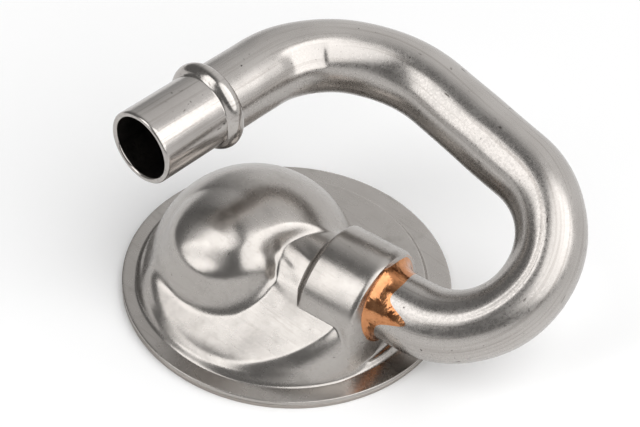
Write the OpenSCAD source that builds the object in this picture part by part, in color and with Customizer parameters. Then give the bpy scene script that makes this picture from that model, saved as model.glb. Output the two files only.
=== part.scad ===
// Oil pickup tube: a bent steel suction tube brazed into a pressed round screen cover.
// Millimetres. The base plane is z = 0, under the rim, and the open end points along -Y.

/* [Tube] */
// Outside diameter of the tube
tube_od = 18.7; // [16:0.1:22]
// Wall of the tube
tube_wall = 1.2; // [0.8:0.1:2]
// Length of the tube inside the socket
socket_depth = 7; // [4:0.5:10]
// Straight length from the socket's mouth to the lower bend
entry_run = 7.6; // [4:0.1:14]
// Centreline radius of the lower bend
lower_bend_r = 22.8; // [20:0.1:30]
// Straight length between the two bends
rise_run = 28.7; // [10:0.1:45]
// Centreline radius of the upper bend
upper_bend_r = 32; // [22:0.1:40]
// Radius by which the tube draws in at its bends
bend_draw = 0.15; // [0.1:0.05:0.4]
// Straight length from the upper bend to the bead
neck_run = 15.5; // [6:0.1:30]

/* [Directions] */
// Heading of the tube where it leaves the socket
entry_heading = 7.5; // [0:0.5:20]
// Heading of the straight length between the bends
rise_heading = 176.2; // [165:0.1:190]
// Climb of the straight length between the bends
rise_climb = 9; // [0:0.5:15]

/* [Spigot] */
// Outside diameter of the press-in end
spigot_od = 19.15; // [18.8:0.05:22]
// Length of the press-in end, from the bead to its mouth
spigot_len = 20.2; // [12:0.1:30]
// Outside diameter of the upset bead
bead_od = 23; // [21:0.1:26]
// Length of the upset bead along the tube
bead_len = 5; // [3:0.1:7]
// Rounding of the mouth's outer edge
mouth_lead = 0.8; // [0.3:0.1:1]

/* [Cover] */
// Diameter of the rim
rim_d = 86.4; // [82:0.2:94]
// Thickness of the pressed sheet
sheet = 1.2; // [0.8:0.1:1.6]
// Outside diameter of the step inside the flange
step_d = 77.2; // [74:0.2:80]
// Height of the step
step_h = 1.5; // [1.4:0.1:2.5]
// Width of the step's slope
step_run = 1.6; // [1:0.1:2.4]
// Shift of the pressed form from the rim's centre, along the socket
press_shift = -1; // [-1.5:0.1:1]
// Shift of the pressed form from the rim's centre, across the socket
press_side = -0.6; // [-1:0.1:1]

/* [Dome] */
// Radius of the dome
dome_r = 27.6; // [24:0.1:28]
// Distance of the dome's centre from the rim's centre, along the socket
dome_x = -8.3; // [-9:0.1:-4]
// Height of the dome's centre
dome_z = 3; // [1:0.1:6]
// Steepest slope of the dome's foot
dome_slope = 74; // [60:1:78]
// Radius of the rounded nose in front of the dome
nose_r = 15; // [13:0.1:16]
// Height of the nose's centre
nose_z = 14.5; // [12:0.1:16]

/* [Socket] */
// Radius of the half-round socket
socket_r = 15; // [13:0.1:16]
// Height of the socket's axis
socket_z = 14; // [12:0.1:16]
// Start of the socket, measured from the rim's centre
socket_start = 15.8; // [13:0.1:19]
// Face of the socket's mouth, measured from the rim's centre
socket_face = 33; // [31:0.1:34]
// Rounding of the mouth's edge
socket_round = 4; // [2:0.1:5]
// Slope of the socket's side walls
socket_slope = 82; // [76:1:84]
// Radius of the ridge between the dome and the socket
ridge_r = 12.3; // [10:0.1:13]
// Height of the ridge's axis
ridge_z = 12.3; // [10:0.1:14]
// Length of the step up from the ridge to the socket
ridge_run = 3.2; // [2:0.1:5]
// Distance of the tube's axis in front of the rim's centre
entry_offset = 3.3; // [0:0.1:6]
// Height of the tube's axis where it enters the socket
entry_z = 16.5; // [15:0.1:18]

/* [Apron] */
// Distance of the apron's toe from the tube's axis
apron_toe = 34.3; // [32:0.1:35]
// Slope of the apron
apron_slope = 32; // [26:1:36]
// Distance of the apron's low end from the rim's centre
apron_end = 31; // [28:0.1:33]
// Slope of that end
apron_end_slope = 48; // [40:1:60]
// Distance of the apron's steep wall inside the step
wall_inset = 0.6; // [0.3:0.1:3]
// Slope of that wall
wall_slope = 76; // [66:1:80]

/* [Screen] */
// Thickness of the retainer ring
retainer_t = 1.2; // [0.8:0.1:2]
// Diameter of the retainer's opening
intake_d = 58; // [40:1:64]
// Diameter of the screen's wires
wire_d = 0.7; // [0.5:0.05:0.8]
// Spacing of the screen's wires
wire_pitch = 5.4; // [5:0.1:8]
// Width of the screen's rolled edge
screen_edge = 2.4; // [1.5:0.1:4]

/* [Braze] */
// Radial width of the copper fillet on the socket's face
braze_w = 2; // [1:0.1:3]
// Length of the copper fillet along the tube
braze_len = 2.6; // [1.5:0.1:4]

/* [Fits] */
// Gap between the tube and the socket's hole, filled by the braze
braze_gap = 0.05; // [0.02:0.01:0.15]
// Gap between the screen and the step around it
screen_gap = 0.6; // [0.2:0.1:1.5]

/* [Hidden] */
$fn = 96;

tube_r = tube_od / 2;
bore_r = tube_r - tube_wall;
spigot_r = spigot_od / 2;
rim_r = rim_d / 2;
step_r = step_d / 2;
flange_z = retainer_t + sheet;
panel_z = flange_z + step_h;

// Headings of the three straight lengths
entry_dir = [cos(entry_heading), sin(entry_heading), 0];
rise_dir = [cos(rise_climb) * cos(rise_heading), cos(rise_climb) * sin(rise_heading), sin(rise_climb)];
exit_dir = [0, -1, 0];
across_dir = [-sin(entry_heading), cos(entry_heading), 0];

function unit(v) = v / norm(v);
function turn_angle(d, e) = acos(d * e);
function turn_side(d, e) = unit(e - d * (d * e));
function turn_end(p, d, e, r) =
    let (a = turn_angle(d, e)) p + r * (sin(a) * d + (1 - cos(a)) * turn_side(d, e));

// Points where the straight lengths and the bends meet
face_point = socket_face * entry_dir - entry_offset * across_dir + [0, 0, entry_z];
lower_start = face_point + entry_run * entry_dir;
lower_end = turn_end(lower_start, entry_dir, rise_dir, lower_bend_r);
upper_start = lower_end + rise_run * rise_dir;
upper_end = turn_end(upper_start, rise_dir, exit_dir, upper_bend_r);

// Length by which a straight length laps the bend next to it
lap = 0.6;

// Places children at p with their z axis along d and their x axis along n
module place(p, d, n) {
    b = cross(d, n);
    multmatrix([[n.x, b.x, d.x, p.x], [n.y, b.y, d.y, p.y], [n.z, b.z, d.z, p.z], [0, 0, 0, 1]]) children();
}

// One straight length of tube, running back and ahead into the bends at its ends
module straight(p, d, n, len, back, ahead) {
    place(p, d, n) rotate_extrude() translate([bore_r, -back]) square([tube_wall, len + back + ahead]);
}

// One bend of tube, from heading d to heading e
module bend(p, d, e, r) {
    a = turn_angle(d, e);
    place(p, d, turn_side(d, e))
        translate([r, 0, 0]) rotate([90, 0, 0]) rotate([0, 0, 180 - a])
            rotate_extrude(angle = a) translate([r, 0]) difference() {
                circle(tube_r - bend_draw);
                circle(bore_r - bend_draw);
            }
}

// The straight neck, the upset bead and the sized spigot, turned about one axis
module spigot_end() {
    bead_end = neck_run + bead_len;
    mouth = bead_end + spigot_len;
    bead_h = (bead_od - tube_od) / 2;
    bead_arc = (bead_h * bead_h + bead_len * bead_len / 4) / (2 * bead_h);
    lead_in = 0.7 * mouth_lead;
    place(upper_end, exit_dir, [1, 0, 0]) rotate_extrude() difference() {
        union() {
            translate([0, -lap]) square([tube_r, lap + neck_run + bead_len / 2]);
            translate([bead_od / 2 - bead_arc, neck_run + bead_len / 2]) circle(bead_arc);
            translate([0, neck_run + bead_len / 2]) square([spigot_r, bead_len / 2 + spigot_len - mouth_lead]);
            polygon([
                [0, mouth - mouth_lead],
                [spigot_r, mouth - mouth_lead],
                [spigot_r - lead_in, mouth],
                [0, mouth]
            ]);
        }
        translate([-bore_r, -1]) square([2 * bore_r, mouth + 2]);
    }
}

module pickup_tube() {
    color("#9a938c") {
        straight(face_point - socket_depth * entry_dir, entry_dir, [0, 0, 1], socket_depth + entry_run, 0, lap);
        bend(lower_start, entry_dir, rise_dir, lower_bend_r);
        straight(lower_end, rise_dir, turn_side(rise_dir, exit_dir), rise_run, lap, lap);
        bend(upper_start, rise_dir, exit_dir, upper_bend_r);
        spigot_end();
    }
}

// Smooth step from 0 at a to 1 at b
function ease(x, a, b) = let (t = min(max((x - a) / (b - a), 0), 1)) t * t * (3 - 2 * t);
// Larger and smaller of two heights, blended over a band k
function higher(a, b, k) = let (h = min(max(0.5 + 0.5 * (a - b) / k, 0), 1)) b + (a - b) * h + k * h * (1 - h);
function lower(a, b, k) = -higher(-a, -b, k);
// Height of a ball of radius r at distance d from its centre, running on at a fixed slope below
function ball(d, r, z, slope) =
    d < r * sin(slope)
        ? z + sqrt(r * r - d * d)
        : z + r * cos(slope) - (d - r * sin(slope)) * tan(slope);

// The press frame has x along the socket and y across it, with the tube's axis on y = 0
rim_mid = [0, entry_offset];
press_mid = rim_mid + [press_shift, press_side];
dome_mid = [dome_x, 0];
nose_mid = [-10, -10];
nose_slope = 76;
apron_back = 4;
apron_back_rise = 1.5;
// Distance of the apron's end behind the socket's face
apron_setback = 0.4;
// Points on the two flat cheeks beside the nose, with the cheeks' headings and slopes
front_cheek = [-12.3, -23.2, 10];
front_heading = -83;
front_slope = 76;
side_cheek = [2.6, -13, 16.9];
side_heading = -22;
side_slope = 56;
face_slope = 86;
// Share of the mouth's rounding that is followed before the face takes over
edge_share = 0.97;
// Turn that keeps the seam of the tube's hole off the pressing's edges
hole_turn = 37;
// Widths of the blends between the forms
plate_blend = 2.2;
dome_blend = 3;
nose_blend = 3;
cheek_blend = 12;
cheek_edge_blend = 4;
socket_blend = 2;
apron_end_blend = 4;
apron_wall_blend = 6;
apron_face_blend = 3;
apron_back_blend = 4;

// Height of each form of the pressing at point q, inset by c for the sheet's inner side
function plate(q, c) =
    flange_z - c + step_h * (1 - ease(norm(q - press_mid), step_r - step_run - c, step_r - c));
function cheek(q, at, heading, slope, c) =
    at.z - ([q.x - at.x, q.y - at.y] * [cos(heading), sin(heading)]) * tan(slope) - c / cos(slope);
function dome(q, c) = let (
        crown = ball(norm(q - dome_mid), dome_r - c, dome_z, dome_slope),
        front = cheek(q, front_cheek, front_heading, front_slope, c),
        side = cheek(q, side_cheek, side_heading, side_slope, c),
        nose = ball(norm(q - nose_mid), nose_r - c, nose_z, nose_slope)
    ) higher(lower(crown, lower(side, front, cheek_blend), cheek_edge_blend), nose, nose_blend);
function face(q, c) = entry_z + (socket_face - c - q.x) * tan(face_slope);
function apron(q, c) = let (
        ramp = panel_z + (q.y + apron_toe) * tan(apron_slope) - c / cos(apron_slope),
        end = panel_z + (q.x + apron_end - c) * tan(apron_end_slope),
        wall = panel_z + (step_r - wall_inset - c - norm(q - press_mid)) * tan(wall_slope),
        back = panel_z + (apron_back - c - q.y) * apron_back_rise,
        front = lower(lower(ramp, end, apron_end_blend), wall, apron_wall_blend)
    ) lower(lower(front, back, apron_back_blend), face(q, c + apron_setback), apron_face_blend);
function socket(q, c) = let (
        g = ease(q.x, socket_start - ridge_run, socket_start),
        s = min(max(socket_round - (socket_face - c - q.x), 0), socket_round * edge_share),
        edge = socket_round - sqrt(socket_round * socket_round - s * s),
        r = ridge_r + (socket_r - ridge_r) * g - c - edge,
        z = ridge_z + (socket_z - ridge_z) * g
    ) q.x < dome_x ? 0 : min(ball(abs(q.y), r, z, socket_slope), face(q, c));
function form(q, c) =
    higher(higher(higher(plate(q, c), apron(q, c), plate_blend), dome(q, c), dome_blend),
        socket(q, c), socket_blend);

// Plan of the grid of points: rings around the socket that grow into rings around the rim
sectors = 88;
grid_shift = -2;
grid_mid = [(socket_start + socket_face) / 2 + grid_shift, 0];
// Degrees by which the headings crowd towards the dome, and the squareness of the rings on the socket
heading_pull = 22;
ring_square = 6;
// Width of flat panel left inside the step
step_margin = 0.3;
function heading(j) = let (t = j * 360 / sectors) t + heading_pull * sin(t);
function ray(h) = [cos(h), sin(h)];
function to_circle(h, mid, r) = let (w = grid_mid - mid, b = w * ray(h)) -b + sqrt(b * b - w * w + r * r);
function to_socket(h, c) = let (
        side = abs(sin(h)) / (socket_r - c),
        start = max(-cos(h), 0) / (grid_mid.x - socket_start + c),
        face = max(cos(h), 0) / (socket_face - c - grid_mid.x)
    ) pow(pow(side, ring_square) + pow(start, ring_square) + pow(face, ring_square), -1 / ring_square);

// Ring counts of the grid: on the socket, from there to the step, and over the step
outer_rings = [5, 40, 3];
inner_rings = [3, 14, 2];
function ring_count(n) = n[0] + n[1] + n[2] + 1;
// Distance of ring i from the grid's middle at heading h
function ring_reach(i, n, h, c) = let (
        from = to_socket(h, c) - socket_round / 2,
        to = to_circle(h, press_mid, step_r - step_run - c - step_margin),
        crowding = max(1, ln(2 * (to - from)) / ln(n[1])),
        k = i - n[0]
    )
    k <= 0 ? from * i / n[0]
    : k <= n[1] ? from + (to - from) * pow(k / n[1], crowding)
    : k <= n[1] + n[2] ? to_circle(h, press_mid, step_r - c - step_run * (1 - (k - n[1]) / n[2]))
    : to_circle(h, rim_mid, rim_r);
function in_row(q, z) = q.x * entry_dir + (q.y - entry_offset) * across_dir + [0, 0, z];
function skin_point(q, c) = in_row(q, form(q, c));
function skin(n, c) = [
    skin_point(grid_mid, c),
    for (i = [1:ring_count(n)], j = [0:sectors - 1])
        let (h = heading(j)) skin_point(grid_mid + ring_reach(i, n, h, c) * ray(h), c)
];
// Triangles of one side of the sheet, numbered from point o
function skin_faces(n, o) = let (at = function (i, j) o + 1 + (i - 1) * sectors + j % sectors) [
    for (j = [0:sectors - 1]) [o, at(1, j + 1), at(1, j)],
    for (i = [1:ring_count(n) - 1], j = [0:sectors - 1])
        each [[at(i, j), at(i + 1, j + 1), at(i + 1, j)], [at(i, j), at(i, j + 1), at(i + 1, j + 1)]]
];
function flipped(faces) = [for (f = faces) [f[0], f[2], f[1]]];

// The pressed sheet with its outer skin, its inner skin and the rim's edge between them
module pressing() {
    top = skin(outer_rings, 0);
    under = skin(inner_rings, sheet);
    top_rim = len(top) - sectors;
    under_rim = len(top) + len(under) - sectors;
    edge = [
        for (j = [0:sectors - 1])
            let (k = (j + 1) % sectors)
                each [[top_rim + j, top_rim + k, under_rim + k], [top_rim + j, under_rim + k, under_rim + j]]
    ];
    polyhedron(
        concat(top, under),
        concat(skin_faces(outer_rings, 0), flipped(skin_faces(inner_rings, len(top))), edge),
        convexity = 6
    );
}

module cover() {
    color("#a39c95") difference() {
        pressing();
        place(face_point - socket_depth * entry_dir, entry_dir, [0, 0, 1]) rotate([0, 0, hole_turn])
            cylinder(r = tube_r + braze_gap, h = socket_depth + entry_run);
    }
}

// The copper fillet, hollow towards the corner that it fills
module braze_ring() {
    arc_steps = 8;
    hollow = [
        for (i = [0:arc_steps])
            let (t = 90 * i / arc_steps) [tube_r + braze_w * (1 - sin(t)), braze_len * (1 - cos(t))]
    ];
    seat = 2;
    color("#b8622e") place(face_point, entry_dir, [0, 0, 1]) difference() {
        rotate_extrude() polygon(concat([[tube_r, -seat], [tube_r + braze_w, -seat]], hollow));
        rotate([0, 90 - face_slope, 0]) translate([-rim_r, -rim_r, -rim_r]) cube([rim_d, rim_d, rim_r]);
    }
}

module screen_retainer() {
    color("#8d8781") rotate_extrude($fn = 180)
        translate([intake_d / 2, 0]) square([rim_r - intake_d / 2, retainer_t]);
}

// The woven screen: lower and upper wires that bite into each other, in a rolled edge
module strainer_screen() {
    screen_r = step_r - step_run - sheet - norm(press_mid - rim_mid) - screen_gap;
    bite = 0.3 * wire_d;
    screen_t = 2 * wire_d - bite;
    anchor_r = screen_r - screen_edge / 2;
    wires = floor((screen_r - screen_edge) / wire_pitch);
    color("#7f7b76") translate([0, 0, retainer_t]) {
        rotate_extrude() translate([screen_r - screen_edge, 0]) square([screen_edge, screen_t]);
        for (turn = [0, 90], i = [-wires:wires])
            rotate([0, 0, turn]) translate([0, i * wire_pitch, turn == 0 ? wire_d / 2 : screen_t - wire_d / 2])
                rotate([0, 90, 0]) rotate([0, 0, 22.5])
                    cylinder(
                        d = wire_d / cos(22.5),
                        h = 2 * sqrt(anchor_r * anchor_r - pow(i * wire_pitch, 2)),
                        center = true,
                        $fn = 8
                    );
    }
}

pickup_tube();
cover();
braze_ring();
screen_retainer();
strainer_screen();
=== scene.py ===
import math

import bmesh
import bpy
import numpy as np
from mathutils import Matrix, Vector


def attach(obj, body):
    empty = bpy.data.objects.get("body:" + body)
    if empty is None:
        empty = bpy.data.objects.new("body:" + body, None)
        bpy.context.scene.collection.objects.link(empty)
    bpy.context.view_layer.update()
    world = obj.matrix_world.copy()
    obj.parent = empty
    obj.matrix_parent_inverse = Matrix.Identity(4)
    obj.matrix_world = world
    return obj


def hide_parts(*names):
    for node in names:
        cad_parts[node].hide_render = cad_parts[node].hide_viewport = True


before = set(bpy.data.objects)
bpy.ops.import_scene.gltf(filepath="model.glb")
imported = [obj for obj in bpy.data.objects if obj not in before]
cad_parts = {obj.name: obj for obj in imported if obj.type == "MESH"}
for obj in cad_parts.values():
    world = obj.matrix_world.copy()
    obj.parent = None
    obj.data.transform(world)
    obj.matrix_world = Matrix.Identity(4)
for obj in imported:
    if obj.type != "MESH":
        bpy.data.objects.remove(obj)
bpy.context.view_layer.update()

# The studio: a white sweep between a tall strip box on the left and a large round soft box on the
# right. The sweep rises behind the part, and the rest of the room is dimmer, which shapes the steel.
MM = 0.001
SCENE = bpy.context.scene
SCENE.view_settings.view_transform = "Standard"


def linear(code):
    """Linear colour of an sRGB hex code."""
    parts = [int(code[i:i + 2], 16) / 255 for i in (1, 3, 5)]
    return tuple(p / 12.92 if p <= 0.04045 else ((p + 0.055) / 1.055) ** 2.4 for p in parts) + (1.0,)


def add(tree, kind, inputs, **settings):
    """One node with its settings. An input is a plain value or another node's output."""
    node = tree.nodes.new("ShaderNode" + kind)
    for key, value in settings.items():
        setattr(node, key, value)
    for key, value in inputs.items():
        if isinstance(value, bpy.types.NodeSocket):
            tree.links.new(value, node.inputs[key])
        else:
            node.inputs[key].default_value = value
    return node


def towards(azimuth, elevation):
    """Unit vector at an azimuth and an elevation, in degrees."""
    a, e = math.radians(azimuth), math.radians(elevation)
    return Vector((math.cos(e) * math.cos(a), math.cos(e) * math.sin(a), math.sin(e)))


def looking_back(out):
    """Turn of a camera or a lamp that stands out along a direction and looks back along it."""
    return (-out).to_track_quat("-Z", "Y").to_matrix().to_4x4()


def stand(name, data, place):
    """A new object in the scene with a placing matrix."""
    thing = bpy.data.objects.new(name, data)
    SCENE.collection.objects.link(thing)
    thing.matrix_world = place
    return thing


def blank(name):
    """A new material with its tree and its shader."""
    finish = bpy.data.materials.new(name)
    finish.use_nodes = True
    return finish, finish.node_tree, finish.node_tree.nodes["Principled BSDF"]


CAMERA_AT = Vector((208.63, -245.90, 329.90)) * MM
CAMERA_SIDE, CAMERA_HEIGHT, CAMERA_ROLL = -50.955, 43.311, 4.755
SENSOR_W, FOCAL_LENGTH, NEAREST = 36, 98.44, 10
lens = bpy.data.cameras.new("camera")
lens.sensor_width = SENSOR_W
lens.lens = FOCAL_LENGTH
lens.clip_start = NEAREST * MM
turn = looking_back(towards(CAMERA_SIDE, CAMERA_HEIGHT))
roll = Matrix.Rotation(math.radians(CAMERA_ROLL), 4, "Z")
SCENE.camera = stand("camera", lens, Matrix.Translation(CAMERA_AT) @ turn @ roll)

SOFT_BOX_FAR = 0.8
for name, shape, side, height, wide, tall, radiance in (
    ("strip_box", "RECTANGLE", -112, 40, 0.33, 0.85, 2.4),
    ("round_box", "DISK", 0, 46, 1.14, 1.14, 1.9),
):
    lamp = bpy.data.lights.new(name, "AREA")
    lamp.shape = shape
    lamp.size, lamp.size_y = wide, tall
    lamp.energy = radiance * math.pi * wide * tall * (math.pi / 4 if shape == "DISK" else 1)
    out = towards(side, height)
    stand(name, lamp, Matrix.Translation(out * SOFT_BOX_FAR) @ looking_back(out))

# The sweep is lost and full at these cosines of the angle from its middle.
SWEEP_MIDDLE, SWEEP_LOST, SWEEP_FULL = towards(80, 15), 0.15, 0.8
ROOM_DIM, ROOM_WHITE = 0.2, 1.0
world = bpy.data.worlds.new("studio")
world.use_nodes = True
SCENE.world = world
tree = world.node_tree
way = add(tree, "TexCoord", {}).outputs["Generated"]
behind = add(tree, "VectorMath", {0: way, 1: SWEEP_MIDDLE}, operation="DOT_PRODUCT").outputs["Value"]
room = add(tree, "MapRange", {
    "Value": behind, "From Min": SWEEP_LOST, "From Max": SWEEP_FULL,
    "To Min": ROOM_DIM, "To Max": ROOM_WHITE,
}, interpolation_type="SMOOTHSTEP").outputs[0]
tree.links.new(room, tree.nodes["Background"].inputs["Strength"])
tree.nodes["Background"].inputs["Color"].default_value = (1, 1, 1, 1)

# Sweep paper: matt white, with a faint cloud of fibre, drawn coarser than in real paper. Past the
# shadow it is plain white to the camera and in the steel.
FLOOR_HALF, FADE_FROM, FADE_TO = 2000, 70, 190
FIBRE_CLOUD = 60
sweep_paper, tree, shader = blank("white_sweep_paper")
shader.inputs["Roughness"].default_value = 0.9
shader.inputs["Specular IOR Level"].default_value = 0.1
way = add(tree, "TexCoord", {}).outputs["Object"]
fibre = add(tree, "TexNoise", {"Vector": way, "Scale": 1 / (FIBRE_CLOUD * MM), "Detail": 2.0}).outputs["Fac"]
tone = add(tree, "Mix", {
    "Factor": fibre, 6: linear("#fafafa"), 7: linear("#fdfdfd"),
}, data_type="RGBA").outputs[2]
tree.links.new(tone, shader.inputs["Base Color"])
away = add(tree, "VectorMath", {0: way}, operation="LENGTH").outputs["Value"]
fade = add(tree, "MapRange", {
    "Value": away, "From Min": FADE_FROM * MM, "From Max": FADE_TO * MM,
}, interpolation_type="SMOOTHSTEP").outputs[0]
rays = add(tree, "LightPath", {}).outputs
seen = rays["Is Camera Ray"]
for ray in ("Is Glossy Ray", "Is Transmission Ray"):
    seen = add(tree, "Math", {0: seen, 1: rays[ray]}, operation="MAXIMUM").outputs[0]
clear = add(tree, "Math", {0: fade, 1: seen}, operation="MULTIPLY").outputs[0]
white = add(tree, "Emission", {"Strength": 1.0}).outputs[0]
paper = add(tree, "MixShader", {0: clear, 1: shader.outputs[0], 2: white}).outputs[0]
tree.links.new(paper, tree.nodes["Material Output"].inputs["Surface"])
bm = bmesh.new()
bmesh.ops.create_grid(bm, x_segments=1, y_segments=1, size=FLOOR_HALF * MM)
mesh = bpy.data.meshes.new("floor")
bm.to_mesh(mesh)
bm.free()
mesh.materials.append(sweep_paper)
stand("floor", mesh, Matrix())

# Screen retainer: a flat ring punched from sheet steel, fixed under the cover's flange so that
# the strainer is held between them. The punch leaves its edges slightly rounded.
RIM_R, INTAKE_R, RETAINER_T = 43.2, 29.0, 1.2
PUNCHED_EDGE = 0.22
RING_STEPS, EDGE_STEPS, CORNER = 192, 3, math.radians(60)


def turned_ring(bm, inner, outer, low, high, edge):
    """A ring of rectangular section about the z axis, with rounded edges."""
    outline = ((inner, low), (outer, low), (outer, high), (inner, high))
    corners = [bm.verts.new((r, 0, z)) for r, z in outline]
    sides = [bm.edges.new((corners[i - 1], corners[i])) for i in range(len(corners))]
    bmesh.ops.spin(
        bm, geom=corners + sides, axis=(0, 0, 1), cent=(0, 0, 0), angle=math.tau, steps=RING_STEPS,
        use_merge=True,
    )
    bmesh.ops.recalc_face_normals(bm, faces=bm.faces)
    rims = [e for e in bm.edges if e.calc_face_angle(0) > CORNER]
    bmesh.ops.bevel(
        bm, geom=rims, offset=edge, segments=EDGE_STEPS, profile=0.5, affect="EDGES", material=-1,
    )


def piece_of(bm, name, finish, sharp):
    """Turns a closed bmesh in millimetres into a piece, smooth up to an angle in degrees."""
    bmesh.ops.scale(bm, vec=(MM, MM, MM), verts=bm.verts)
    mesh = bpy.data.meshes.new(name)
    bm.to_mesh(mesh)
    bm.free()
    mesh.shade_smooth()
    mesh.set_sharp_from_angle(angle=math.radians(sharp))
    mesh.materials.append(finish)
    return stand(name, mesh, Matrix())


def bare_metal(tree, shader, tone, dull, relief=None):
    """Makes a shader a metal with this colour, roughness and relief."""
    shader.inputs["Metallic"].default_value = 1.0
    tree.links.new(tone, shader.inputs["Base Color"])
    tree.links.new(dull, shader.inputs["Roughness"])
    if relief is not None:
        tree.links.new(relief, shader.inputs["Normal"])


# Cold-rolled steel sheet: satin, with fine parallel rolling lines and faint cloudy stains. The
# lines are drawn coarser than real ones, so that they show.
ROLL_LINE_W, ROLL_LINE_LEN, ROLL_CLOUD = 0.5, 25, 14
rolled_steel, tree, shader = blank("cold_rolled_steel_sheet")
way = add(tree, "TexCoord", {}).outputs["Object"]
along = add(tree, "Mapping", {
    "Vector": way, "Scale": Vector((1 / ROLL_LINE_W, 1 / ROLL_LINE_LEN, 1 / ROLL_LINE_W)) / MM,
}).outputs[0]
lines = add(tree, "TexNoise", {"Vector": along, "Scale": 1.0, "Detail": 3.0}).outputs["Fac"]
cloud = add(tree, "TexNoise", {"Vector": way, "Scale": 1 / (ROLL_CLOUD * MM), "Detail": 4.0}).outputs["Fac"]
tone = add(tree, "Mix", {
    "Factor": cloud, 6: linear("#8d8680"), 7: linear("#b0aaa4"),
}, data_type="RGBA").outputs[2]
dull = add(tree, "MapRange", {
    "Value": cloud, "From Min": 0.3, "From Max": 0.7, "To Min": 0.3, "To Max": 0.45,
}).outputs[0]
relief = add(tree, "Bump", {"Height": lines, "Strength": 0.6, "Distance": 0.006 * MM}).outputs[0]
bare_metal(tree, shader, tone, dull, relief)

bm = bmesh.new()
turned_ring(bm, INTAKE_R, RIM_R, 0, RETAINER_T, PUNCHED_EDGE)
retainer = piece_of(bm, "retainer_ring", rolled_steel, sharp=20)
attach(retainer, "root")
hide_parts("screen_retainer")

# Strainer screen: plain-woven steel wire cut to a disc, with its edge rolled into a flat ring.
# It lies on the retainer and keeps swarf and sludge out of the pump. The weave is drawn coarser
# than a real one, so that it shows.
SCREEN_R, SCREEN_T, EDGE_W, EDGE_ROUND = 34.03, 1.19, 2.4, 0.4
WIRE_R, WIRE_SIDES, WIRE_PLAY = 0.27, 6, 0.03
WEAVE_PITCH, STEPS_A_PITCH, FEWEST_STEPS = 2.0, 3, 4
WEAVE_MID = RETAINER_T + SCREEN_T / 2
WEAVE_RISE = SCREEN_T / 2 - WIRE_R - WIRE_PLAY

# Drawn wire: smooth bright steel gone slightly dull in hot oil, with a tint that drifts.
WIRE_TINT = 6
screen_wire, tree, shader = blank("woven_steel_wire")
way = add(tree, "TexCoord", {}).outputs["Object"]
drift = add(tree, "TexNoise", {"Vector": way, "Scale": 1 / (WIRE_TINT * MM), "Detail": 4.0}).outputs["Fac"]
tone = add(tree, "Mix", {
    "Factor": drift, 6: linear("#77716a"), 7: linear("#aaa49c"),
}, data_type="RGBA").outputs[2]
dull = add(tree, "MapRange", {
    "Value": drift, "From Min": 0.3, "From Max": 0.7, "To Min": 0.28, "To Max": 0.42,
}).outputs[0]
bare_metal(tree, shader, tone, dull)

bm = bmesh.new()
strand = bpy.data.meshes.new("strand")
anchor_r = SCREEN_R - EDGE_W / 2
reach = int(anchor_r / WEAVE_PITCH)
for turned in (False, True):
    for k in range(-reach, reach + 1):
        off = k * WEAVE_PITCH
        half = math.sqrt(anchor_r ** 2 - off ** 2)
        steps = max(FEWEST_STEPS, round(2 * half / (WEAVE_PITCH / STEPS_A_PITCH)))
        wire = bmesh.new()
        ring = bmesh.ops.create_circle(wire, segments=WIRE_SIDES, radius=WIRE_R, cap_ends=True)["verts"]
        bmesh.ops.rotate(wire, verts=ring, matrix=Matrix.Rotation(math.pi / 2, 3, "Y"))
        bmesh.ops.translate(wire, verts=ring, vec=(-half, 0, 0))
        rim = list(wire.edges)
        for step in range(steps):
            grown = bmesh.ops.extrude_edge_only(wire, edges=rim)["geom"]
            ring = [g for g in grown if isinstance(g, bmesh.types.BMVert)]
            edges = [g for g in grown if isinstance(g, bmesh.types.BMEdge)]
            rim = [e for e in edges if all(v in ring for v in e.verts)]
            bmesh.ops.translate(wire, verts=ring, vec=(2 * half / steps, 0, 0))
        bmesh.ops.contextual_create(wire, geom=rim)
        lift = -1 if (k % 2 == 0) == turned else 1
        for v in wire.verts:
            v.co.z += WEAVE_MID + lift * WEAVE_RISE * math.cos(math.pi * v.co.x / WEAVE_PITCH)
        bmesh.ops.translate(wire, verts=wire.verts, vec=(0, off, 0))
        if turned:
            bmesh.ops.rotate(wire, verts=wire.verts, matrix=Matrix.Rotation(-math.pi / 2, 3, "Z"))
        wire.to_mesh(strand)
        wire.free()
        bm.from_mesh(strand)
bmesh.ops.recalc_face_normals(bm, faces=bm.faces)
rolled = bmesh.new()
turned_ring(rolled, SCREEN_R - EDGE_W, SCREEN_R, RETAINER_T, RETAINER_T + SCREEN_T, EDGE_ROUND)
rolled.to_mesh(strand)
rolled.free()
bm.from_mesh(strand)
bpy.data.meshes.remove(strand)
screen = piece_of(bm, "woven_screen", screen_wire, sharp=40)
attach(screen, "root")
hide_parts("strainer_screen")

# Cover: one disc of sheet steel deep-drawn in a press into a flange, a step, a dome and a
# half-round socket for the tube, with a sloping apron on the open side. It is left bare.
SHEET, FLANGE_Z, PANEL_Z, SHEARED_EDGE = 1.2, 2.4, 3.9, 0.25
ENTRY_HEADING, ENTRY_OFFSET, ENTRY_Z = math.radians(7.5), 3.3, 16.5
ENTRY_DIR = Vector((math.cos(ENTRY_HEADING), math.sin(ENTRY_HEADING), 0))
ACROSS_DIR = Vector((-ENTRY_DIR.y, ENTRY_DIR.x, 0))
STEP_R, STEP_H, STEP_RUN = 38.6, 1.5, 1.6
PRESS_MID = (-1.0, 2.7)
DOME_X, DOME_R, DOME_Z, DOME_SLOPE = -8.3, 27.6, 3.0, math.radians(74)
NOSE_MID, NOSE_R, NOSE_Z, NOSE_SLOPE, NOSE_LONG = (-10.4, -11.0), 12.6, 16.2, math.radians(78), 1.25
NOSE_FLAT_AZ, NOSE_FLAT_EL, NOSE_FLAT_DEEP = math.radians(-88), math.radians(46), 1.8
SOCKET_R, SOCKET_Z, SOCKET_START, SOCKET_FACE = 15.0, 14.0, 15.8, 33.0
SOCKET_ROUND, SOCKET_SLOPE, FACE_SLOPE = 4.0, math.radians(82), math.radians(86)
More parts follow.
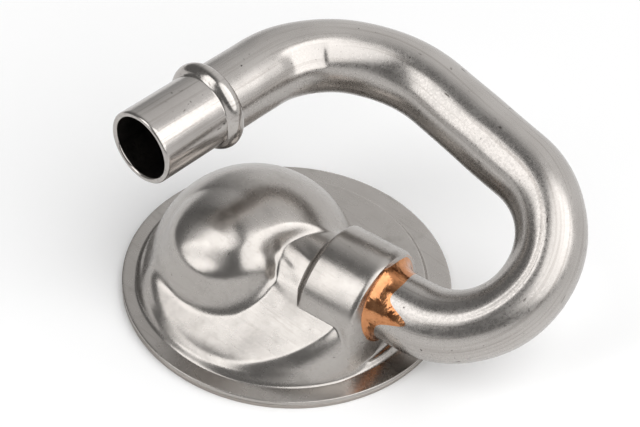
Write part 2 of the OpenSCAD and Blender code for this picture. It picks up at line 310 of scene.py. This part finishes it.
RIDGE_R, RIDGE_Z, RIDGE_RUN = 12.3, 12.3, 3.2
APRON_TOE, APRON_SLOPE, APRON_BACK, APRON_BACK_RISE = -34.3, math.radians(32), 4.0, 1.5
APRON_LEFT, APRON_LEFT_SLOPE = -31.0, math.radians(48)
WALL_R, WALL_SLOPE, WALL_TURN, CHIN_OUT = 38.0, math.radians(76), 5.0, 1.8
HOLLOW_AT, HOLLOW_R, HOLLOW_DEEP = (5.0, -25.5), 7.0, 0.45
FOLD_AT, FOLD_SPAN, FOLD_HIGH, FOLD_PITCH, FOLD_SKEW = (8.5, -9.0), 4.5, 0.3, 5.0, 0.35

# Two cheeks flatten the dome. Each has a heading, a point on it, a slope and the radius of its bow.
CHEEKS = (
    (math.radians(-22), (2.6, -13.0, 16.9), math.radians(76), 18.0),
    (math.radians(-83), (-12.3, -23.2, 10.0), math.radians(76), 200.0),
)

# Widths over which the pressed forms run into each other, and the share of the socket's rounded
# edge that is kept, which stops just short of upright.
CHEEK_TO_CHEEK, CHEEK_TO_DOME, FLAT_TO_NOSE, NOSE_TO_DOME = 12.0, 6.0, 3.4, 5.0
LEFT_TO_APRON, WALL_TO_APRON, BACK_TO_APRON = 4.0, 10.0, 4.0
APRON_TO_PLATE, DOME_TO_PLATE, SOCKET_TO_ALL = 2.6, 6.0, 2.0
ROUND_SHARE = 0.97


def ease(x, a, b):
    """Smooth step from 0 at a to 1 at b."""
    t = np.clip((x - a) / (b - a), 0, 1)
    return t * t * (3 - 2 * t)


def higher(a, b, k):
    """The larger of two heights, blended over a band k."""
    h = np.clip(0.5 + 0.5 * (a - b) / k, 0, 1)
    return b + (a - b) * h + k * h * (1 - h)


def lower(a, b, k):
    """The smaller of two heights, blended over a band k."""
    return -higher(-a, -b, k)


def ball(d, r, z, slope):
    """Height of a ball at distance d from its centre, running on at a fixed slope below."""
    foot = r * math.sin(slope)
    cap = z + np.sqrt(np.maximum(r * r - d * d, 0))
    return np.where(d < foot, cap, z + r * math.cos(slope) - (d - foot) * math.tan(slope))


def pressing(x, y, c):
    """Height of the pressed sheet, c below its outer side, with x along the socket and y across it."""
    out = np.hypot(x - PRESS_MID[0], y - PRESS_MID[1])
    plate = FLANGE_Z - c + STEP_H * (1 - ease(out, STEP_R - STEP_RUN - c, STEP_R - c))
    dome = ball(np.hypot(x - DOME_X, y), DOME_R - c, DOME_Z, DOME_SLOPE)
    cheeks = []
    for az, at, slope, bow in CHEEKS:
        down = (x - at[0]) * math.cos(az) + (y - at[1]) * math.sin(az)
        aside = (y - at[1]) * math.cos(az) - (x - at[0]) * math.sin(az)
        cheeks.append(at[2] - down * math.tan(slope) + aside ** 2 / (2 * bow) - c / math.cos(slope))
    dome = lower(dome, lower(cheeks[0], cheeks[1], CHEEK_TO_CHEEK), CHEEK_TO_DOME)
    ahead, aside = x - NOSE_MID[0], y - NOSE_MID[1]
    nose = ball(np.hypot(ahead / NOSE_LONG, aside), NOSE_R - c, NOSE_Z, NOSE_SLOPE)
    over = (ahead * math.cos(NOSE_FLAT_AZ) + aside * math.sin(NOSE_FLAT_AZ)) * math.cos(NOSE_FLAT_EL)
    flat = NOSE_Z + (NOSE_R - NOSE_FLAT_DEEP - c - over) / math.sin(NOSE_FLAT_EL)
    dome = higher(dome, lower(nose, flat, FLAT_TO_NOSE), NOSE_TO_DOME)
    ramp = PANEL_Z + (y - APRON_TOE) * math.tan(APRON_SLOPE) - c / math.cos(APRON_SLOPE)
    hollow = HOLLOW_DEEP * np.exp(-((x - HOLLOW_AT[0]) ** 2 + (y - HOLLOW_AT[1]) ** 2) / HOLLOW_R ** 2)
    reach = c + higher(out, x - SOCKET_FACE - CHIN_OUT + WALL_R, WALL_TURN)
    wall = PANEL_Z + (WALL_R - reach) * math.tan(WALL_SLOPE)
    skirt = PANEL_Z + (WALL_R - reach) * math.tan(SOCKET_SLOPE)
    back = PANEL_Z + (APRON_BACK - c - y) * APRON_BACK_RISE
    left = PANEL_Z + (x - APRON_LEFT - c) * math.tan(APRON_LEFT_SLOPE)
    apron = lower(lower(ramp - hollow, left, LEFT_TO_APRON), wall, WALL_TO_APRON)
    apron = lower(apron, back, BACK_TO_APRON)
    g = ease(x, SOCKET_START - RIDGE_RUN, SOCKET_START)
    s = np.clip(SOCKET_ROUND - (SOCKET_FACE - c - x), 0, SOCKET_ROUND * ROUND_SHARE)
    edge = SOCKET_ROUND - np.sqrt(SOCKET_ROUND ** 2 - s * s)
    r = RIDGE_R + (SOCKET_R - RIDGE_R) * g - c - edge
    barrel = ball(np.abs(y), r, RIDGE_Z + (SOCKET_Z - RIDGE_Z) * g, SOCKET_SLOPE)
    face = ENTRY_Z + (SOCKET_FACE - c - x) * math.tan(FACE_SLOPE)
    socket = np.where(x < DOME_X, 0, np.minimum(np.minimum(barrel, face), skirt))
    gathered = np.exp(-((x - FOLD_AT[0]) / FOLD_SPAN) ** 2 - ((y - FOLD_AT[1]) / FOLD_SPAN) ** 2)
    folds = FOLD_HIGH * gathered * np.cos(math.tau * (y + FOLD_SKEW * (x - FOLD_AT[0])) / FOLD_PITCH)
    sheet = higher(higher(plate, apron, APRON_TO_PLATE), dome, DOME_TO_PLATE)
    return higher(sheet, socket, SOCKET_TO_ALL) + folds


# The sheet's grid of sectors and rings has its middle in the socket. The sectors crowd towards the
# dome, which is further off, and a radian of bend counts as a run of sheet, which draws rings there.
SECTORS, TOP_RINGS, UNDER_RINGS, RIM_STEPS = 360, 160, 64, 4
GRID_BACK = 2.0
GRID_X = (SOCKET_START + SOCKET_FACE) / 2 - GRID_BACK
SECTOR_CROWD, BEND_RUN = math.radians(22), 2.0
PROBES, EVEN_OVER = 1601, 3
SEAM = 0.0005


def ring_reaches(headings, c, rings):
    """Distances from the grid's middle, closer together where the sheet bends more."""
    b = GRID_X * np.cos(headings) - ENTRY_OFFSET * np.sin(headings)
    far = -b + np.sqrt(b * b - GRID_X ** 2 - ENTRY_OFFSET ** 2 + (RIM_R - SHEARED_EDGE) ** 2)
    d = np.linspace(0, 1, PROBES)[:, None] * far
    z = pressing(GRID_X + d * np.cos(headings), d * np.sin(headings), c)
    run = np.hypot(np.diff(d, axis=0), np.diff(z, axis=0))
    tilt = np.arctan2(np.diff(z, axis=0), np.diff(d, axis=0))
    bend = np.abs(np.diff(tilt, axis=0, prepend=tilt[:1]))
    length = np.vstack([np.zeros(len(headings)), np.cumsum(run + BEND_RUN * bend, axis=0)])
    wanted = np.linspace(0, 1, rings + 1)
    spokes = [np.interp(wanted * length[-1, j], length[:, j], d[:, j]) for j in range(len(headings))]
    shares = np.array(spokes).T / far
    beside = range(-EVEN_OVER, EVEN_OVER + 1)
    return sum(np.roll(shares, k, axis=1) for k in beside) / len(beside) * far


def wrapped_grid(bm, around, along):
    """Adds a grid and gives each vertex with its column around the piece and its row along it."""
    bmesh.ops.create_grid(bm, x_segments=around, y_segments=along, size=0.5)
    return [(v, round((v.co.x + 0.5) * around), round((v.co.y + 0.5) * along)) for v in bm.verts]


def close_seams(bm):
    """Joins the sides of a wrapped grid that meet, and turns its faces outwards."""
    bmesh.ops.remove_doubles(bm, verts=bm.verts, dist=SEAM)
    bmesh.ops.recalc_face_normals(bm, faces=bm.faces)


# Deep-drawn steel: satin to polished where the die rubbed it, clouded by dried drawing oil, with
# fine scratches, small pits and a slight orange peel where the sheet stretched. The scratches and
# the peel are drawn coarser than real ones, so that they show.
OIL_CLOUD, OIL_SMEAR, SHEET_PIT, RUB_LEN, RUB_W, PEEL = 16, 9, 1.1, 18, 0.8, 2.5
pressed_steel, tree, shader = blank("deep_drawn_steel")
way = add(tree, "TexCoord", {}).outputs["Object"]
cloud = add(tree, "TexNoise", {
    "Vector": way, "Scale": 1 / (OIL_CLOUD * MM), "Detail": 4.0, "Roughness": 0.55,
}).outputs["Fac"]
tone = add(tree, "Mix", {
    "Factor": cloud, 6: linear("#a19c97"), 7: linear("#b7b3af"),
}, data_type="RGBA").outputs[2]
smear = add(tree, "TexNoise", {
    "Vector": way, "Scale": 1 / (OIL_SMEAR * MM), "Detail": 6.0, "Roughness": 0.65,
}).outputs["Fac"]
stain = add(tree, "MapRange", {
    "Value": smear, "From Min": 0.58, "From Max": 0.74, "To Min": 0.0, "To Max": 0.4,
}).outputs[0]
tone = add(tree, "Mix", {"Factor": stain, 6: tone, 7: linear("#6f6862")}, data_type="RGBA").outputs[2]
grit = add(tree, "TexNoise", {"Vector": way, "Scale": 1 / (SHEET_PIT * MM), "Detail": 2.0}).outputs["Fac"]
pit = add(tree, "MapRange", {"Value": grit, "From Min": 0.745, "From Max": 0.8}).outputs[0]
tone = add(tree, "Mix", {"Factor": pit, 6: tone, 7: linear("#4d4742")}, data_type="RGBA").outputs[2]
along = add(tree, "Mapping", {
    "Vector": way, "Rotation": (0, 0, -ENTRY_HEADING),
    "Scale": Vector((1 / RUB_LEN, 1 / RUB_W, 1 / RUB_W)) / MM,
}).outputs[0]
rub = add(tree, "TexNoise", {"Vector": along, "Scale": 1.0, "Detail": 3.0, "Roughness": 0.65}).outputs["Fac"]
rubbed = add(tree, "MapRange", {
    "Value": rub, "From Min": 0.55, "From Max": 0.72, "To Min": 0.0, "To Max": 0.22,
}).outputs[0]
tone = add(tree, "Mix", {"Factor": rubbed, 6: tone, 7: linear("#7d7771")}, data_type="RGBA").outputs[2]
dull = add(tree, "MapRange", {
    "Value": smear, "From Min": 0.3, "From Max": 0.7, "To Min": 0.2, "To Max": 0.33,
}).outputs[0]
peel = add(tree, "TexNoise", {"Vector": way, "Scale": 1 / (PEEL * MM), "Detail": 3.0}).outputs["Fac"]
relief = add(tree, "Bump", {"Height": peel, "Strength": 1.0, "Distance": 0.014 * MM}).outputs[0]
for height, deep in ((rub, 0.012), (grit, 0.004)):
    relief = add(tree, "Bump", {
        "Height": height, "Strength": 1.0, "Distance": deep * MM, "Normal": relief,
    }).outputs[0]
bare_metal(tree, shader, tone, dull, relief)

turns = np.arange(SECTORS) * math.tau / SECTORS
headings = turns + SECTOR_CROWD * np.sin(turns)
skins = []
for c, rings, order in ((0, TOP_RINGS, 1), (SHEET, UNDER_RINGS, -1)):
    reaches = ring_reaches(headings, c, rings)[::order]
    x = GRID_X + reaches * np.cos(headings)
    y = reaches * np.sin(headings)
    skins.append(np.stack([x, y, pressing(x, y, c)], axis=-1))
rim = skins[0][-1] - (0, ENTRY_OFFSET, 0)
out = rim[:, :2] / np.linalg.norm(rim[:, :2], axis=1)[:, None]
quarter = np.linspace(0, math.pi / 2, RIM_STEPS + 1)
edge = []
for corner, angles in (
    (FLANGE_Z - SHEARED_EDGE, quarter[-2::-1]), (RETAINER_T + SHEARED_EDGE, -quarter[:-1]),
):
    for a in angles:
        spot = out * (RIM_R - SHEARED_EDGE + SHEARED_EDGE * math.cos(a)) + (0, ENTRY_OFFSET)
        edge.append(np.column_stack([spot, np.full(SECTORS, corner + SHEARED_EDGE * math.sin(a))]))
rows = np.concatenate([skins[0], np.array(edge), skins[1]])
bm = bmesh.new()
for v, column, row in wrapped_grid(bm, SECTORS, len(rows) - 1):
    x, y, z = rows[row, column % SECTORS]
    v.co = x * ENTRY_DIR + (y - ENTRY_OFFSET) * ACROSS_DIR + Vector((0, 0, z))
close_seams(bm)
cover = piece_of(bm, "pressed_cover", pressed_steel, sharp=50)

# The hole for the tube is pierced through the socket's face.
TUBE_R, SOCKET_DEPTH = 9.35, 7.0
HOLE_PLAY, HOLE_SIDES = 0.05, 150
FACE_POINT = SOCKET_FACE * ENTRY_DIR - ENTRY_OFFSET * ACROSS_DIR + Vector((0, 0, ENTRY_Z))
bm = bmesh.new()
bmesh.ops.create_cone(
    bm, cap_ends=True, segments=HOLE_SIDES, radius1=TUBE_R + HOLE_PLAY, radius2=TUBE_R + HOLE_PLAY,
    depth=2 * SOCKET_DEPTH,
    matrix=Matrix.Translation(FACE_POINT) @ ENTRY_DIR.to_track_quat("Z", "X").to_matrix().to_4x4(),
)
punch = piece_of(bm, "socket_punch", pressed_steel, sharp=30)
cut = cover.modifiers.new("tube_hole", "BOOLEAN")
cut.object = punch
cut.solver = "EXACT"
pierced = bpy.data.meshes.new_from_object(cover.evaluated_get(bpy.context.evaluated_depsgraph_get()))
cover.modifiers.clear()
cover.data = pierced
bpy.data.objects.remove(punch)
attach(cover, "root")
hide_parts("cover")

# Pickup tube: drawn steel tube bent twice on a die, its far end sized for the pump's bore and
# upset into a bead that stops it there. The near end stands in the cover's socket.
BORE_R, ENTRY_RUN, LOWER_BEND_R, RISE_RUN, UPPER_BEND_R, NECK_RUN = 8.15, 7.6, 22.8, 28.7, 32.0, 15.5
SPIGOT_R, SPIGOT_LEN, SIZED_RUN, LIP_R = 9.575, 20.2, 1.0, 0.6
BEAD_R, BEAD_LEN, BEAD_BLEND = 11.5, 5.0, 0.37
RISE_DIR = towards(176.2, 9)
EXIT_DIR = Vector((0, -1, 0))
legs = []
for run, ahead, after, bend_r in (
    (SOCKET_DEPTH + ENTRY_RUN, ENTRY_DIR, RISE_DIR, LOWER_BEND_R),
    (RISE_RUN, RISE_DIR, EXIT_DIR, UPPER_BEND_R),
    (NECK_RUN + BEAD_LEN + SPIGOT_LEN, EXIT_DIR, None, 0),
):
    legs.append((run, 0, ahead, None))
    if bend_r:
        inward = (after - ahead * ahead.dot(after)).normalized()
        legs.append((bend_r * ahead.angle(after), bend_r, ahead, inward))
LOWER_FROM = legs[0][0]
LOWER_TO = LOWER_FROM + legs[1][0]
UPPER_FROM = LOWER_TO + RISE_RUN
UPPER_TO = UPPER_FROM + legs[3][0]
BEAD_AT = UPPER_TO + NECK_RUN + BEAD_LEN / 2
TUBE_LEN = BEAD_AT + BEAD_LEN / 2 + SPIGOT_LEN


def section(s):
    """Place of the tube's section at length s: its z axis runs ahead, and x starts upwards."""
    up = Vector((0, 0, 1))
    turn = Matrix((up, ENTRY_DIR.cross(up), ENTRY_DIR)).transposed().to_4x4()
    place = Matrix.Translation(FACE_POINT - SOCKET_DEPTH * ENTRY_DIR) @ turn
    for run, bend_r, ahead, inward in legs:
        part = min(max(s, 0), run)
        if bend_r:
            hub = Matrix.Translation(place.translation + bend_r * inward)
            place = hub @ Matrix.Rotation(part / bend_r, 4, ahead.cross(inward)) @ hub.inverted() @ place
        else:
            place = Matrix.Translation(ahead * part) @ place
        s -= run
    return place


def outside(s):
    """Outer radius of the tube at length s, with the bead and the sized end."""
    from_bead = s - BEAD_AT
    high = BEAD_R - TUBE_R
    arc = (high * high + BEAD_LEN ** 2 / 4) / (2 * high)
    plain = TUBE_R + (SPIGOT_R - TUBE_R) * ease(from_bead, 0, SIZED_RUN)
    bead = BEAD_R - arc + math.sqrt(max(arc * arc - from_bead ** 2, 0))
    return float(higher(np.array(plain), np.array(bead), BEAD_BLEND))


# Marks of bending: slightly flat bends, a pressed land on the upper bend, a line scored by the die,
# and shallow waves, each with its length, its turns round the tube and its phase.
LOWER_FLAT, UPPER_FLAT, FLAT_RUN = 0.06, 0.025, 18.0
LAND_FROM, LAND_TO, LAND_TURN, LAND_DEEP = 144.0, 161.0, math.radians(34), 0.6
LAND_RISE, LAND_FADE, LEAST_COSINE = 1.5, 6.0, 0.1
LINE_FROM, LINE_TO, LINE_TURN, LINE_W, LINE_DEEP = 26.0, 68.0, math.radians(37), math.radians(2.2), 0.14
WAVE_HIGH, WAVES = 0.04, ((19.0, 3, 0), (32.3, -2, 1))
MARK_FADE, MARK_STOP = 8.0, 6.0
bends = []
for start, end, flat, inward in (
    (LOWER_FROM, LOWER_TO, LOWER_FLAT, legs[1][3]), (UPPER_FROM, UPPER_TO, UPPER_FLAT, legs[3][3]),
):
    bends.append((start, end, flat, section(start).to_3x3().transposed() @ inward))


def between(s, start, end, rise, fade):
    """1 between two lengths, eased in over one run and out over another."""
    return ease(s, start, start + rise) * (1 - ease(s, end - fade, end))


def bent_wall(s, r, a):
    """Point of the tube's section at length s, radius r and angle a, with the marks of bending."""
    land = (TUBE_R - LAND_DEEP) / max(math.cos(a - LAND_TURN), LEAST_COSINE)
    deep = min(land - TUBE_R, 0) * between(s, LAND_FROM, LAND_TO, LAND_RISE, LAND_FADE)
    scored = LINE_DEEP * between(s, LINE_FROM, LINE_TO, MARK_FADE, MARK_FADE)
    deep -= scored * math.exp(-((a - LINE_TURN) / LINE_W) ** 2)
    deep += WAVE_HIGH * sum(math.sin(math.tau * s / run + lobes * a + phase) for run, lobes, phase in WAVES)
    r += deep * between(s, LOWER_FROM, BEAD_AT - MARK_STOP, MARK_FADE, MARK_FADE)
    point = Vector((float(r) * math.cos(a), float(r) * math.sin(a), 0))
    for start, end, flat, middle in bends:
        near = between(s, start, end, FLAT_RUN, FLAT_RUN)
        point += (point - 2 * point.dot(middle) * middle) * float(near * flat)
    return point


# Drawn steel tube: bright grey and frosty, with lengthwise die lines, cloudy stains from the bending
# oil, and small dark pits and nicks. The sized end is smoother. The lines and the frosty grain are
# drawn coarser than real ones, so that they show.
DIE_LINE_W, DIE_LINE_LEN, BEND_CLOUD, TUBE_PIT = 0.9, 45, 12, 1.2
NICK_W, NICK_LEN, FROST_GRAIN = 1.8, 5, 0.6
drawn_steel, tree, shader = blank("drawn_steel_tube")
way = add(tree, "Attribute", {}, attribute_name="unbent").outputs["Vector"]
along = add(tree, "Mapping", {
    "Vector": way, "Scale": Vector((1 / DIE_LINE_W, 1 / DIE_LINE_W, 1 / DIE_LINE_LEN)) / MM,
}).outputs[0]
lines = add(tree, "TexNoise", {"Vector": along, "Scale": 1.0, "Detail": 3.0, "Roughness": 0.6}).outputs["Fac"]
cloud = add(tree, "TexNoise", {
    "Vector": way, "Scale": 1 / (BEND_CLOUD * MM), "Detail": 5.0, "Roughness": 0.6,
}).outputs["Fac"]
tone = add(tree, "Mix", {
    "Factor": cloud, 6: linear("#a39e9a"), 7: linear("#bdb9b5"),
}, data_type="RGBA").outputs[2]
worn = add(tree, "MapRange", {
    "Value": lines, "From Min": 0.52, "From Max": 0.7, "To Min": 0.0, "To Max": 0.4,
}).outputs[0]
tone = add(tree, "Mix", {"Factor": worn, 6: tone, 7: linear("#7a736d")}, data_type="RGBA").outputs[2]
grit = add(tree, "TexNoise", {"Vector": way, "Scale": 1 / (TUBE_PIT * MM), "Detail": 2.0}).outputs["Fac"]
pit = add(tree, "MapRange", {"Value": grit, "From Min": 0.72, "From Max": 0.78}).outputs[0]
tone = add(tree, "Mix", {"Factor": pit, 6: tone, 7: linear("#3f3a36")}, data_type="RGBA").outputs[2]
nicked = add(tree, "Mapping", {
    "Vector": way, "Scale": Vector((1 / NICK_W, 1 / NICK_W, 1 / NICK_LEN)) / MM,
}).outputs[0]
nick = add(tree, "TexNoise", {"Vector": nicked, "Scale": 1.0, "Detail": 2.0}).outputs["Fac"]
gouge = add(tree, "MapRange", {
    "Value": nick, "From Min": 0.71, "From Max": 0.76, "To Min": 0.0, "To Max": 0.8,
}).outputs[0]
tone = add(tree, "Mix", {"Factor": gouge, 6: tone, 7: linear("#4c4641")}, data_type="RGBA").outputs[2]
frost = add(tree, "TexNoise", {"Vector": way, "Scale": 1 / (FROST_GRAIN * MM), "Detail": 2.0}).outputs["Fac"]
blur = add(tree, "Math", {0: cloud, 1: frost}, operation="ADD").outputs[0]
dull = add(tree, "MapRange", {
    "Value": blur, "From Min": 0.7, "From Max": 1.3, "To Min": 0.2, "To Max": 0.36,
}).outputs[0]
length = add(tree, "SeparateXYZ", {0: way}).outputs["Z"]
sized = add(tree, "MapRange", {
    "Value": length, "From Min": (BEAD_AT - BEAD_LEN) * MM, "From Max": BEAD_AT * MM,
    "To Min": 1.0, "To Max": 0.7,
}).outputs[0]
dull = add(tree, "Math", {0: dull, 1: sized}, operation="MULTIPLY").outputs[0]
relief = add(tree, "Bump", {"Height": lines, "Strength": 1.0, "Distance": 0.009 * MM}).outputs[0]
for height, deep in ((frost, 0.0025), (grit, 0.008)):
    relief = add(tree, "Bump", {
        "Height": height, "Strength": 1.0, "Distance": deep * MM, "Normal": relief,
    }).outputs[0]
bare_metal(tree, shader, tone, dull, relief)

# The wall's rings run up the outside, round the lip and back down the bore, closer at the bead.
SIDES, LIP_STEPS = 128, 8
WALL_STEP, BEAD_STEP, BORE_STEP = 0.8, 0.2, 2.0
BEAD_NEAR, BORE_START = 4.0, 1.5
stations = []
for first, last, step in (
    (0, BEAD_AT - BEAD_NEAR, WALL_STEP),
    (BEAD_AT - BEAD_NEAR, BEAD_AT + BEAD_NEAR, BEAD_STEP),
    (BEAD_AT + BEAD_NEAR, TUBE_LEN - LIP_R, WALL_STEP),
):
    stations += [(s, outside(s)) for s in np.arange(first, last, step)]
half_wall = (SPIGOT_R - BORE_R) / 2
for k in range(LIP_STEPS + 1):
    a = math.pi * k / LIP_STEPS
    lip_r = SPIGOT_R - half_wall + half_wall * math.cos(a)
    stations.append((TUBE_LEN - LIP_R + LIP_R * math.sin(a), lip_r))
stations += [(s, BORE_R) for s in np.arange(TUBE_LEN - BORE_START, 0, -BORE_STEP)]
stations += [(0, BORE_R), (0, TUBE_R)]
places = [section(s) for s, r in stations]
bm = bmesh.new()
unbent = bm.verts.layers.float_vector.new("unbent")
for v, column, row in wrapped_grid(bm, SIDES, len(stations) - 1):
    a = math.tau * column / SIDES
    s, r = stations[row]
    v[unbent] = Vector((r * math.cos(a), r * math.sin(a), s)) * MM
    v.co = places[row] @ bent_wall(s, r, a)
close_seams(bm)
tube = piece_of(bm, "bent_tube", drawn_steel, sharp=60)
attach(tube, "root")
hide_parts("pickup_tube")

# Braze: copper melted into the joint between tube and socket in a furnace. It wets both parts,
# so its surface is hollow, its edges wander, and a tongue of it ran along the tube.
COPPER_W, COPPER_LEN = 3.6, 2.9
TONGUE_TURN, TONGUE_W, TONGUE_LEN = math.radians(300), math.radians(15), 7.4
COPPER_STEPS, COPPER_ARC = 180, 12

# Shares of the fillet's width and length that are missing below, above and on the near side, and
# the waves of its two edges, each with its height, its turns round the tube and its phase.
THIN_BELOW, THIN_ABOVE, THIN_NEAR = 0.74, 0.25, 0.55
SHORT_BELOW, SHORT_NEAR = 0.5, 0.45
FOOT_WAVES = ((0.22, 3, 0.6), (0.12, 7, 0))
TIP_WAVES = ((0.3, 2, 1), (0.2, 5, 2))

# The fillet's hidden back, inside the tube's wall and the socket's face, and the search for the
# face: how far behind and ahead of it to look, and how often to halve that.
INTO_TUBE, TIP_BACK, ROOT_BACK, FOOT_IN, FOOT_BACK = 0.1, 0.2, 1.2, 0.6, 0.7
SEEK_BEHIND, SEEK_AHEAD, HALVINGS = 5.0, 1.5, 30

# Furnace copper: glossy, orange-brown, lumpy as it froze and darker where flux stained it.
COPPER_LUMP, COPPER_CLOUD = 2.2, 4
furnace_copper, tree, shader = blank("furnace_copper_braze")
way = add(tree, "TexCoord", {}).outputs["Object"]
lump = add(tree, "TexNoise", {"Vector": way, "Scale": 1 / (COPPER_LUMP * MM), "Detail": 3.0}).outputs["Fac"]
cloud = add(tree, "TexNoise", {
    "Vector": way, "Scale": 1 / (COPPER_CLOUD * MM), "Detail": 4.0, "Roughness": 0.6,
}).outputs["Fac"]
tone = add(tree, "Mix", {
    "Factor": cloud, 6: linear("#8a4822"), 7: linear("#e8ac7c"),
}, data_type="RGBA").outputs[2]
flux = add(tree, "MapRange", {
    "Value": lump, "From Min": 0.6, "From Max": 0.74, "To Min": 0.0, "To Max": 0.7,
}).outputs[0]
tone = add(tree, "Mix", {"Factor": flux, 6: tone, 7: linear("#6a3519")}, data_type="RGBA").outputs[2]
dull = add(tree, "MapRange", {
    "Value": cloud, "From Min": 0.3, "From Max": 0.7, "To Min": 0.1, "To Max": 0.24,
}).outputs[0]
relief = add(tree, "Bump", {"Height": lump, "Strength": 1.0, "Distance": 0.2 * MM}).outputs[0]
bare_metal(tree, shader, tone, dull, relief)


def wander(a, waves):
    """How far an edge strays at angle a."""
    return sum(high * math.sin(lobes * a + phase) for high, lobes, phase in waves)


def copper_section(a):
    """The fillet at angle a about the tube: points of (distance from the axis, length ahead of the face)."""
    below, above, near = max(0, -math.cos(a)), max(0, math.cos(a)), max(0, -math.sin(a))
    thin = THIN_BELOW * below ** 2 + THIN_ABOVE * above ** 2 + THIN_NEAR * near ** 2
    width = COPPER_W * (1 - thin) + wander(a, FOOT_WAVES)
    short = SHORT_BELOW * below ** 2 + SHORT_NEAR * near ** 2
    tongue = TONGUE_LEN * math.exp(-((a - TONGUE_TURN) / TONGUE_W) ** 2)
    length = COPPER_LEN * (1 - short) + wander(a, TIP_WAVES) + tongue
    far = TUBE_R + width
    y, z = far * math.sin(a), ENTRY_Z + far * math.cos(a)
    behind, ahead = SOCKET_FACE - SEEK_BEHIND, SOCKET_FACE + SEEK_AHEAD
    for _ in range(HALVINGS):
        mid = (behind + ahead) / 2
        if float(pressing(np.array(mid), np.array(y), 0)) > z:
            behind = mid
        else:
            ahead = mid
    foot = behind - SOCKET_FACE
    points = []
    for k in range(COPPER_ARC + 1):
        t = math.pi / 2 * k / COPPER_ARC
        points.append((far - width * math.sin(t), foot + (length - foot) * (1 - math.cos(t))))
    inner = TUBE_R - INTO_TUBE
    hidden = [(inner, length - TIP_BACK), (inner, -ROOT_BACK), (far - FOOT_IN, foot - FOOT_BACK)]
    return points + hidden + points[:1]


rounds = [copper_section(math.tau * k / COPPER_STEPS) for k in range(COPPER_STEPS)]
mouth = section(SOCKET_DEPTH)
bm = bmesh.new()
for v, column, row in wrapped_grid(bm, COPPER_STEPS, len(rounds[0]) - 1):
    k = column % COPPER_STEPS
    a = math.tau * k / COPPER_STEPS
    r, ahead = rounds[k][row]
    v.co = mouth @ Vector((r * math.cos(a), -r * math.sin(a), ahead))
close_seams(bm)
braze = piece_of(bm, "copper_fillet", furnace_copper, sharp=70)
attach(braze, "root")
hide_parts("braze_ring")
